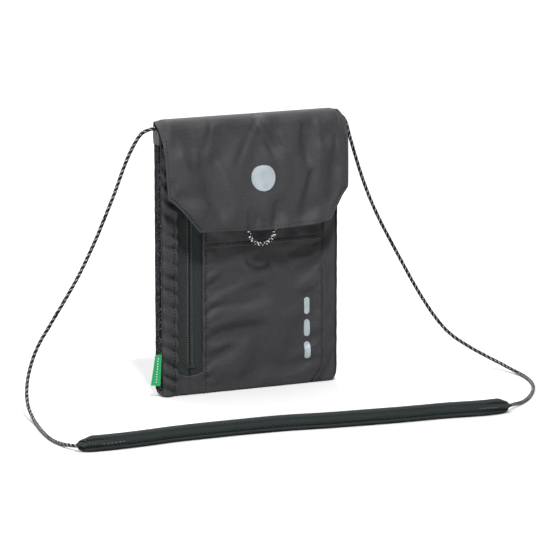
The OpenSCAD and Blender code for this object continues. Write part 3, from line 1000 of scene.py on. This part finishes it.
def make_gusset():
    """One fabric band round the sides and base, split where the CAD splits it."""
    path = outline_path()
    rows = []
    for i, (x, z) in enumerate(path):
        a, b = path[max(i - 1, 0)], path[min(i + 1, len(path) - 1)]
        run = Vector((b[0] - a[0], 0, b[1] - a[1])).normalized()
        out = Vector((run.z, 0, -run.x))
        row = []
        for j in range(15):
            y = -FRONT_Y + 0.1 + (BACK_Y + FRONT_Y - 0.2) * j / 14
            edge = max(0.0, abs(y) - 4.2)
            sag = -0.35 * edge ** 2 + 0.12 * ripple(i * 0.11, y * 0.2, 2.2)
            spot = Vector((x, y, z)) + out * min(sag, 0)
            top = between(y, END_SLOPE) - 1.6
            rise = max(0.0, (z - CORNER_RIGHT) / (BODY_TOP - CORNER_RIGHT))
            drop = (min(top, BODY_TOP) - BODY_TOP) * rise
            row.append(Vector((spot.x, spot.y, max(spot.z, 0.05) + drop)))
        rows.append(row)
    right = len(rows) - SIDE_STEPS
    cuts = [("side_gusset_left_cloth", "side_gusset_left", 0, SIDE_STEPS),
            ("base_gusset_cloth", "base_gusset", SIDE_STEPS - 4, right + 4),
            ("side_gusset_right_cloth", "side_gusset_right", right + 1, len(rows))]
    for name, node, first, end in cuts:
        piece = sheet_piece(name, rows[first:end], SHELL_T, BACK, flip=True)
        settle(piece, "back_fabric", "pouch", node)


def make_binding(side, name, node):
    """Knit binding over one side, from the front panel's edge to the back."""
    profile = [(-0.9, 1.0), (-0.1, 0.9), (0.55, 1.2), (0.85, 2.0), (0.95, 3.4),
               (0.75, 4.6), (0.7, 5.6), (0.95, 6.8), (0.95, 8.4), (0.7, 9.8),
               (0.35, 10.8), (-0.4, 11.4), (-1.5, 11.5)]
    rows = []
    low = 4.0 if side < 0 else CORNER_RIGHT + 1.5
    puff = 1.0 if side < 0 else 0.45
    for i in range(220):
        z = low + (TAB_LOW_Z + 1.0 - low) * i / 219
        row = []
        for dx, dy in profile:
            x = HALF_W + dx * puff + 0.2 * ripple(z / 5, dy / 3, 8.8 + side)
            row.append(Vector((side * x, -FRONT_Y + dy, z)))
        rows.append(row)
    piece = sheet_piece(name, rows, 0.5, KNIT, flip=side > 0)
    settle(piece, "binding_fabric", "pouch", node)


def make_linings():
    """Compartment wall, card pocket and the band round the mouth."""
    low, high = cad("compartment_wall")
    rows = [[Vector((x, low.y + 0.15 * ripple(x / 30, z / 30, 1),
                     z - 8 * ease((abs(x) - HALF_W + 9) / 9) * (z / high.z) ** 4))
             for x in steps(low.x, high.x, 4)]
            for z in steps(low.z, high.z - 0.4, 4)]
    wall = sheet_piece("compartment_wall_cloth", rows, high.y - low.y - 0.2, LINING,
                       inward=BACKWARD)
    settle(wall, "lining_fabric", "pouch", "compartment_wall")
    low, high = cad("card_sleeve")
    rows = [[Vector((x, low.y - 0.2 * bump(z, high.z, 2), z)) for x in steps(low.x, high.x, 4)]
            for z in steps(low.z, high.z, 3)]
    cards = sheet_piece("card_sleeve_cloth", rows, 0.5, LINING, inward=BACKWARD)
    settle(cards, "lining_fabric", "pouch", "card_sleeve")
    low, high = cad("mouth_binding")
    rows = []
    for x in steps(low.x, high.x, 1.6):
        sink = 9 * ease((abs(x) - HALF_W + 11) / 7)
        front = -(bag_front(x, high.z - 6 - sink) + 1.9)
        row = []
        for j in range(17):
            angle = math.pi * j / 16
            y = (front + high.y) / 2 - math.cos(angle) * (high.y - front) / 2
            z = high.z - 2.4 - sink + 2.2 * math.sin(angle) ** 0.7
            z += 0.1 * ripple(x / 4, j / 5, 3) - (3.6 if j in (0, 16) else 0)
            row.append(Vector((x, y, z)))
        rows.append(row)
    band = sheet_piece("mouth_binding_band", rows, 0.5, KNIT)
    settle(band, "binding_fabric", "pouch", "mouth_binding")


TAB_LOW_Z = 172.5
TAB_HIGH_Z = 184.2


def make_tab(side, name, node):
    """Woven tab folded over the cord's end, its front edge along the flap's sloping end."""
    slope = [(z, y) for y, z in END_SLOPE]
    rows = []
    for z in steps(TAB_LOW_Z, TAB_HIGH_Z, 0.8, 0.5):
        front = max(between(z, slope) + 1.1, -4.8)
        row = []
        for y in across(front, BACK_Y + 0.3, 0.7, 8, 0.5):
            hold = 1.15 * bump(y, 0, 2.2) * bump(z, 182.8, 2.6)
            turn = 0.9 * bump(y, BACK_Y + 0.5, 0.8) + 0.9 * bump(y, -5.3, 0.7)
            x = HALF_W + 1.35 + hold - turn + 0.12 * ripple(y / 2, z / 3, 5 + side)
            row.append(Vector((side * x, y, z)))
        rows.append(row)
    piece = sheet_piece(name, rows, 0.6, TAB, flip=side > 0)
    settle(piece, "tab_webbing", "pouch", node)


def make_tag():
    """Folded ribbon caught in the left seam, flaring out at its lower end."""
    low, high = 8.4, 30.0
    seam = -HALF_W - 0.2
    rows = []
    for v in steps(low, high, 1.2, 0.4):
        share = (v - low) / (high - low)
        reach = 4.6 + 1.6 * (1 - share)
        row = []
        for j in range(9):
            u = j / 8
            x = seam - 1.2 * (1 - share) - reach * u
            y = -FRONT_Y + 0.2 + 1.0 * u + 0.5 * math.sin(3 * share + 2 * u) * u
            row.append(Vector((x, y, v + 0.5 * u * (1 - 2 * share))))
        rows.append(row[::-1])
    piece = sheet_piece("side_tag_ribbon", rows, 0.7, TAG)
    settle(piece, "tag_ribbon", "pouch", "side_tag")
    line = [row[4] + Vector((0, -0.72, 0)) for row in rows[5:-5]]
    dashes = stitches("side_tag_dashes", line, "pouch", lambda spot: FORWARD, TAG_THREAD,
                      length=1.0, space=0.8, radius=0.4, sink=0.2)


make_front()
make_back()
make_gusset()
make_binding(-1, "edge_binding_left_knit", "edge_binding_left")
make_binding(1, "edge_binding_right_knit", "edge_binding_right")
make_linings()
make_tab(-1, "cord_tab_left_woven", "cord_tab_left")
make_tab(1, "cord_tab_right_woven", "cord_tab_right")
make_tag()


def front_row(start, end, lift, relief, count=120):
    """Points on the front along a straight line between two (x, z) places."""
    row = []
    for i in range(count + 1):
        x = start[0] + (end[0] - start[0]) * (i / count)
        z = start[1] + (end[1] - start[1]) * (i / count)
        row.append(front_point(x, z, lift + relief(x, z)))
    return row


STITCH_LOW = 2
STITCH_HIGH = 117
# The zip's own stitching: off to each side of its middle, and from where to where along it
ZIP_STITCH_OFF = 1.55
ZIP_STITCH_LOW = ZIP_LOW + 3
ZIP_STITCH_HIGH = ZIP_LOW + 121


def make_front_stitches():
    beside_zip = TAPE_RIGHT + 1.9
    rows = [
        ("stitch_zip_left", (STITCH_LEFT, STITCH_LOW), (STITCH_LEFT, STITCH_HIGH),
         PANEL_LIFT, left_strip_relief),
        ("stitch_zip_right", (STITCH_RIGHT, STITCH_LOW), (STITCH_RIGHT, LAP_Z - 1),
         PANEL_LIFT, pocket_relief),
        ("stitch_yoke", (TAPE_RIGHT + 1, STITCH_LAP), (RIGHT_SEAM - 1, STITCH_LAP),
         YOKE_LIFT, yoke_relief),
        ("stitch_yoke_zip", (beside_zip, LAP_Z + 4), (beside_zip, LAP_Z + 24),
         YOKE_LIFT, yoke_relief),
    ]
    for name, start, end, lift, relief in rows:
        row = front_row(start, end, lift, relief)
        stitches(name, row, "pouch", front_normal, THREAD)
    for name, x in (("zip_stitch_left", ZIP_X - ZIP_STITCH_OFF),
                    ("zip_stitch_right", ZIP_X + ZIP_STITCH_OFF)):
        row = front_row((x, ZIP_STITCH_LOW), (x, ZIP_STITCH_HIGH), 0, tape_relief)
        stitches(name, row, "pouch", front_normal, THREAD_PALE, length=0.8, space=0.7, radius=0.22)


make_front_stitches()


# ---- Zip hardware: the CAD shapes stay, all with the black enamel ----

for node in ("zip_slider", "zip_puller", "zip_top_stop", "zip_bottom_stop",
             "zip_coil_left", "zip_coil_right"):
    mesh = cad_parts[node].data
    mesh.materials.clear()
    mesh.materials.append(ENAMEL)


# ---- Flap ----

FLAP_LEFT = FLAP_LOW.x
FLAP_RIGHT = FLAP_HIGH.x
FLAP_SIDE_Z = 139.3
FLAP_LOW_LEFT = -43.0
FLAP_LOW_RIGHT = 53.0
FLAP_LOW_Z = FLAP_LOW.z + 0.1
FLAP_TOP_Z = FLAP_HIGH.z
# How much wider the flap is at its fold on the right
FLAP_FLARE = 4.2
# Height of the soft bend that joins the flap to the pouch, and where it ends
FOLD_Y = BACK_Y + 0.7
FLAP_PITCH = 1.25
NOTCH_X = 4.2
PRINT_X = 5.2
PRINT_Z = 147.3
HEM = 2.0
FLAP_T = 0.75
# The lining is set in from the flap's edge, and back from its outer face
LINING_INSET = 1.4
LINING_DEPTH = 0.85
LINING_T = 0.5


def even_count(route, count):
    """A smooth line through a (y, z) route, with a set number of evenly spaced points."""
    line = spline([(0, y, z) for y, z in route], 10)
    return even(line, length_of(line) / (count - 1))


def over_path():
    """The flap's outer face from the back seam, over the top and down the front, as (y, z)."""
    top = FLAP_TOP_Z - 1.2
    return [(FOLD_Y + 0.2, 176), (FOLD_Y + 0.1, 182), (FOLD_Y - 0.1, 186.5),
            (FOLD_Y - 1.2, top - 0.7), (2.4, top), (-2, top + 0.2), (-5.4, top),
            (-8.0, top - 1.2), (-9.8, top - 3.8),
            (-11.0, top - 8), (-13.9, 160), (-17.2, FLAP_SIDE_Z), (-20.0, FLAP_LOW_Z)]


def end_path():
    """The same line at the flap's two ends, where the fold collapses into a slope."""
    return ([(FOLD_Y + 0.2, 176), (FOLD_Y + 0.1, 181), (FOLD_Y - 0.1, 185), (FOLD_Y - 0.5, 187)]
            + [(y, z) for y, z in reversed(END_SLOPE)]
            + [(-13.6, 158), (-17.2, FLAP_SIDE_Z), (-20.0, FLAP_LOW_Z)])


FLAP_LINE = even(spline([(0, y, z) for y, z in over_path()], 10), FLAP_PITCH)
FLAP_END = even_count(end_path(), len(FLAP_LINE))
FLAP_LAST = len(FLAP_LINE) - 1
FRONT_START = next(i for i, p in enumerate(FLAP_LINE) if p.y < -9 and p.z < FLAP_TOP_Z - 3)


def line_normals(line):
    return [Vector((0, t.z, -t.y)) for t, _, _ in frames(line, (1, 0, 0))]


FLAP_NORMALS = line_normals(FLAP_LINE)
END_NORMALS = line_normals(FLAP_END)


def flap_edges(k):
    """Left and right edge of the flap at a place along its line, wider at the fold on the right."""
    z = FLAP_LINE[min(round(k), FLAP_LAST)].z
    cut = max(0.0, (FLAP_SIDE_Z - z) / (FLAP_SIDE_Z - FLAP_LOW_Z)) if k > FRONT_START else 0.0
    left = FLAP_LEFT - 1.4 * ease(1 - k / (FRONT_START + 18))
    high = 1.0
    if k > FRONT_START:
        high = min(1.0, max(0.0, (z - FLAP_SIDE_Z) / (FLAP_TOP_Z - FLAP_SIDE_Z)))
    right = FLAP_RIGHT + FLAP_FLARE * high * ease(k / FRONT_START)
    return left + (FLAP_LOW_LEFT - left) * cut, right + (FLAP_LOW_RIGHT - right) * cut


# Valleys and ridges of the flap: start (x, z), end (x, z), width, depth
FLAP_CREASES = [
    ((-52, 181), (-39, 161), 3.0, -1.5), ((-31, 186), (-39, 161), 3.0, -1.7),
    ((-43, 178), (-41, 160), 3.0, 0.8), ((-40, 166), (-25, 110), 4.2, -2.6),
    ((-54, 168), (-36, 112), 5.0, 1.6), ((-27, 160), (-12, 112), 5.0, 1.8),
    ((3, 188), (-20, 146), 2.4, -1.5), ((3, 187), (-8, 156), 2.4, 0.9),
    ((1, 187), (17, 156), 2.2, -1.6), ((5, 188), (31, 150), 2.4, -1.7),
    ((4, 187), (13, 146), 2.4, 1.1), ((20, 178), (24, 128), 5.0, 1.4),
    ((36, 181), (40, 142), 3.6, -2.2), ((41, 150), (29, 108), 4.0, -2.8),
    ((47, 184), (47, 110), 4.5, 2.2), ((60, 172), (54, 120), 3.6, -2.2),
    ((-60, 150), (-50, 128), 3.0, -1.2), ((-8, 126), (-5, 108), 2.4, -1.4),
    ((2, 124), (-1, 108), 2.4, 1.2), ((14, 132), (10, 108), 2.6, -1.5),
]


def flap_drape(x, z):
    """How far the flap's leaf stands forward of its plain slope."""
    down = min(1.0, max(0.0, (FLAP_TOP_Z - 4 - z) / (FLAP_TOP_Z - FLAP_LOW_Z)))
    flat = 1 - 0.85 * bump(math.hypot(x - PRINT_X, z - PRINT_Z), 0, 10)
    fine = 0.8 * ripple(x / 11, z / 36, 4.4) + 1.2 * FLAP_WRINKLES(x, z)
    edge = ease((x - FLAP_LEFT) / 9) * ease((FLAP_RIGHT - x) / 9)
    spokes = sum(crease_line(x, z, *crease) for crease in FLAP_CREASES)
    drape = (fine * edge + spokes) * flat + 1.2 * down * edge
    deepest = 1.3 + 3.0 * down
    return drape if drape > 0 else deepest * math.tanh(drape / deepest)


def hem(x, k):
    """Groove of the hem's stitching, a fixed way in from the flap's free edges."""
    left, right = flap_edges(k)
    z = FLAP_LINE[min(int(k), FLAP_LAST)].z
    lean = 0.72 if z < FLAP_SIDE_Z else 1.0
    inside = min((x - left) * lean, (right - x) * lean, (FLAP_LAST - k) * FLAP_PITCH)
    edge = 0.25 * bump(inside, 0.8, 0.7)
    return edge - 0.5 * bump(inside, HEM, 0.5) + 0.2 * bump(inside, HEM + 1.4, 0.8)


def flap_at(x, k, lift):
    """A point on the flap, k steps along its line, moved out from its outer face."""
    i = min(int(k), FLAP_LAST - 1)
    share = k - i
    end = max(ease((FLAP_LEFT + 5 - x) / 6), ease((x - FLAP_RIGHT + 6) / 6))
    over = FLAP_LINE[i].lerp(FLAP_LINE[i + 1], share)
    spot = over.lerp(FLAP_END[i].lerp(FLAP_END[i + 1], share), end)
    normal = FLAP_NORMALS[i].lerp(END_NORMALS[i], end).normalized()
    leaf = ease((k - FRONT_START + 6) / 12)
    notch = 1.7 * bump(x, NOTCH_X, 3.6) * bump(spot.y, -7, 6)
    rise = 2.0 * ease((x - FLAP_LOW_RIGHT + 14) / 15) - 1.5 * bump(x, 5, 26)
    rise *= ease((FLAP_SIDE_Z - over.z) / (FLAP_SIDE_Z - FLAP_LOW_Z))
    base = Vector((x, spot.y, spot.z - notch + rise))
    return base + normal * (lift + leaf * (flap_drape(x, over.z) + hem(x, k)))


def flap_rows(first, inset, out):
    """Grid over the flap from one place on its line to the lower edge."""
    rows = []
    for k in range(first, FLAP_LAST + 1):
        left, right = flap_edges(k)
        row = []
        for x in across(left + inset, right - inset, FLAP_PITCH, FLAP_RIGHT - FLAP_LEFT):
            side = roll(min(x - left, right - x) - inset, 0.45)
            edge = max(side, roll(FLAP_LAST - k, 0.4, lip=1))
            row.append(flap_at(x, k, out - edge))
        rows.append(row)
    return rows


def flap_spot(x, z, lift=0.0):
    """A point on the flap's front leaf at a nominal height."""
    for k in range(FRONT_START, FLAP_LAST):
        high, low = FLAP_LINE[k].z, FLAP_LINE[k + 1].z
        if low <= z <= high:
            return flap_at(x, k + (high - z) / (high - low), lift)
    return flap_at(x, FLAP_LAST if z < FLAP_LINE[-1].z else FRONT_START, lift)


def flap_normal(spot):
    e = 0.8
    z = min(max(spot.z, FLAP_LOW_Z + 1.5), FLAP_TOP_Z - 8)
    wide = flap_spot(spot.x + e, z) - flap_spot(spot.x - e, z)
    tall = flap_spot(spot.x, z + e) - flap_spot(spot.x, z - e)
    normal = wide.cross(tall).normalized()
    return normal if normal.y < 0 else -normal


def make_flap():
    outer = sheet_piece("flap_outer_cloth", flap_rows(0, 0.2, 0.0), FLAP_T, SHELL)
    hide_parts("flap_outer")
    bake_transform(outer)
    rows = flap_rows(FRONT_START, LINING_INSET, -LINING_DEPTH)
    lining = sheet_piece("flap_lining_cloth", rows, LINING_T, BACK)
    settle(lining, "back_fabric", "flap", "flap_lining")


make_flap()


def make_flap_stitches():
    inset = HEM
    corners = [(FLAP_LEFT + inset, 180), (FLAP_LEFT + inset, FLAP_SIDE_Z + 0.7),
               (FLAP_LOW_LEFT + 0.8, FLAP_LOW_Z + inset),
               (FLAP_LOW_RIGHT - 0.8, FLAP_LOW_Z + inset),
               (FLAP_RIGHT - inset, FLAP_SIDE_Z + 0.7),
               (flap_edges(FRONT_START + 1)[1] - inset - 0.7, 180)]
    row = []
    for (xa, za), (xb, zb) in zip(corners, corners[1:]):
        count = max(2, round(math.hypot(xb - xa, zb - za)))
        for k in range(count):
            row.append(flap_spot(xa + (xb - xa) * k / count, za + (zb - za) * k / count))
    stitches("flap_topstitch", row, "flap", flap_normal, THREAD)


make_flap_stitches()


# The flap's disc, and the pocket's bars with the height of their middles
DISC_RADIUS = 8.8
MARK_X = 42.0
MARK_HALF_W = 2.0
MARK_HALF_H = 6.0
PRINT_T = 0.12
POCKET_MARKS = (("pocket_print_low", 23.4), ("pocket_print_mid", 38.9), ("pocket_print_high", 54.4))


def print_on(name, spot, half_w, half_h, body, x, z):
    """A thin printed shape with round ends on a curved surface."""
    straight = half_h - half_w
    count = round(2 * half_h / 0.7)
    rows = []
    for i in range(count + 1):
        dz = -half_h + 2 * half_h * i / count
        past = max(0.0, abs(dz) - straight) / half_w
        reach = half_w * math.sqrt(max(0.0, 1 - past ** 2)) + 0.02
        columns = max(8, round(2 * half_w / 0.8))
        rows.append([spot(x - reach + 2 * reach * j / columns, z + dz) for j in range(columns + 1)])
    piece = sheet_piece(name, rows, PRINT_T, PRINT, inward=BACKWARD)
    settle(piece, "shell_fabric", body)


def make_prints():
    print_on("flap_print", lambda x, z: flap_spot(x, z, 0.14), DISC_RADIUS, DISC_RADIUS, "flap",
             PRINT_X, PRINT_Z)

    def on_pocket(x, z):
        return front_point(x, z, 0.55 + pocket_relief(x, z))

    for name, z in POCKET_MARKS:
        print_on(name, on_pocket, MARK_HALF_W, MARK_HALF_H, "pouch", MARK_X, z)


make_prints()


# ---- Touch fastener ----

PILE_PITCH = 0.8
PILE_T = 0.7


def make_fastener():
    low, high = cad("loop_patch")
    rows = [[front_point(x, z, 1.6 - roll(min(x - low.x, high.x - x), 0.5) + 0.1 * ripple(x, z, 1))
             for x in steps(low.x, high.x, PILE_PITCH)] for z in steps(low.z, high.z, PILE_PITCH)]
    loops = sheet_piece("loop_patch_pile", rows, PILE_T, FUZZ, inward=BACKWARD)
    settle(loops, "touch_fastener", "pouch", "loop_patch")
    low, high = cad("hook_patch")
    rows = [[flap_spot(x, z, -1.5) + BACKWARD * (0.8 + 0.1 * ripple(x, z, 5))
             for x in steps(low.x, high.x, PILE_PITCH)] for z in steps(low.z, high.z, PILE_PITCH)]
    hooks = sheet_piece("hook_patch_pile", rows, PILE_T, FUZZ, flip=True, inward=FORWARD)
    settle(hooks, "touch_fastener", "flap", "hook_patch")


make_fastener()


# ---- Pull loop ----

def make_loop():
    """Braided loop whose two ends go up into the flap's hem."""
    half = (LOOP_HIGH.x - LOOP_LOW.x - CORD_D) / 2
    x = LOOP_X
    y = (LOOP_LOW.y + LOOP_HIGH.y) / 2
    top = LOOP_HIGH.z - CORD_D / 2
    low = LOOP_LOW.z + CORD_D / 2
    route = [(x - half + 0.6, y + 3.4, top + 4.5), (x - half, y + 1.2, top + 1.0)]
    for i in range(1, 12):
        angle = math.pi * i / 12
        down = math.sin(angle)
        route.append((x - half * math.cos(angle), y - 0.4 * down, top - (top - low) * down))
    route += [(x + half, y + 1.2, top + 1.0), (x + half - 0.6, y + 3.4, top + 4.5)]
    piece = braid("flap_pull_loop_braid", spline(route, 8), CORD_D, pale_share=0.5, lay_share=2.2)
    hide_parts("flap_pull_loop")
    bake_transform(piece)


make_loop()


# ---- Floor and light ----

FLOOR_SIDE = 2000
FLOOR_FRONT = -4000
FLOOR_BACK = 2400
# The world's light by the Y of its direction: from Y, to Y, strength at each
WORLD_FADE = (-0.45, 0.05, 0.04, 1.0)
AT_POUCH = (0, -30, 90)
# Name, place, watts, width and aim
LAMPS = [("key", (-1250, -420, 800), 9.0, 260, AT_POUCH),
         ("side", (1100, -900, 500), 0.2, 500, AT_POUCH),
         ("top", (-250, -1300, 2300), 84.0, 300, AT_POUCH),
         ("floor_light", (0, 2000, 2600), 80.0, 1500, (0, 1500, 0))]


def make_stage():
    n = Nodes("floor_paper")
    cloud = n.noise(1.5, 2.0)
    color = n.mix(cloud, (0.60, 0.60, 0.60, 1), (0.62, 0.62, 0.62, 1))
    paper = n.finish(color, 0.9)
    points = [(-FLOOR_SIDE, FLOOR_FRONT, 0), (FLOOR_SIDE, FLOOR_FRONT, 0),
              (FLOOR_SIDE, FLOOR_BACK, 0), (-FLOOR_SIDE, FLOOR_BACK, 0)]
    floor = add_piece("floor", points, [(0, 1, 2, 3)], [paper])
    world = bpy.data.worlds.new("studio")
    world.use_nodes = True
    tree = world.node_tree
    tree.nodes["Background"].inputs[0].default_value = (1.0, 1.0, 1.0, 1)
    coord = tree.nodes.new("ShaderNodeTexCoord")
    split = tree.nodes.new("ShaderNodeSeparateXYZ")
    spread = tree.nodes.new("ShaderNodeMapRange")
    for socket, value in zip(spread.inputs[1:5], WORLD_FADE):
        socket.default_value = value
    tree.links.new(coord.outputs["Generated"], split.inputs[0])
    tree.links.new(split.outputs[1], spread.inputs[0])
    tree.links.new(spread.outputs[0], tree.nodes["Background"].inputs[1])
    bpy.context.scene.world = world
    for name, place, power, size, target in LAMPS:
        data = bpy.data.lights.new(name, "AREA")
        data.energy = power
        data.size = size * MM
        lamp = bpy.data.objects.new(name, data)
        lamp.location = Vector(place) * MM
        aim = Vector(target) - Vector(place)
        lamp.rotation_euler = aim.to_track_quat("-Z", "Y").to_euler()
        bpy.context.collection.objects.link(lamp)


make_stage()
